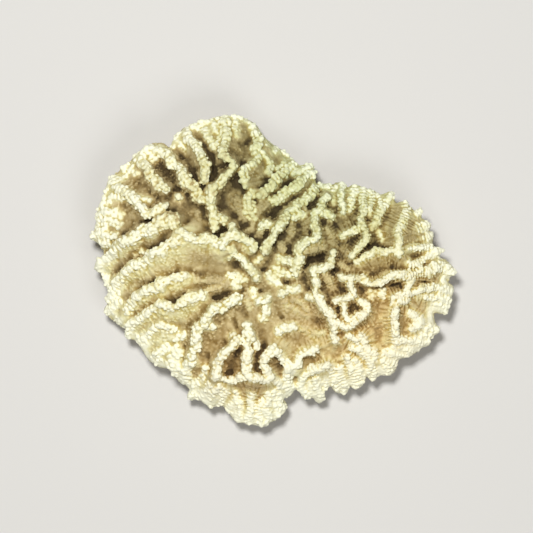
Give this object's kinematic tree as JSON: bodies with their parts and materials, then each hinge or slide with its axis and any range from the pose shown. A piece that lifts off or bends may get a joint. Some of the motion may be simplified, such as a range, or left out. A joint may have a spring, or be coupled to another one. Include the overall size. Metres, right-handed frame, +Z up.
{
  "type": "lettuce coral",
  "caption": "Dried lettuce coral colony: a low dome of beaded, leaf-like walls and deep valleys on a short stalk that is cut off flat.",
  "frame": {"origin": "centre of the flat cut at the foot of the stalk", "axes": "+Z up, out of the colony's upper side; +X along its longest side, towards the right in the picture; +Y towards the picture's upper edge"},
  "size_m": [0.181, 0.1547, 0.0461],
  "materials": {
    "skeleton": "chalky matt, bleached cream on the crests and tan in the valleys"
  },
  "bodies": {
    "root": {"heart": "skeleton", "upper_left_fan": "skeleton", "top_fan": "skeleton", "right_fan": "skeleton", "lower_right_fan": "skeleton", "bottom_fan": "skeleton", "lower_left_fan": "skeleton"}
  },
  "joints": []
}
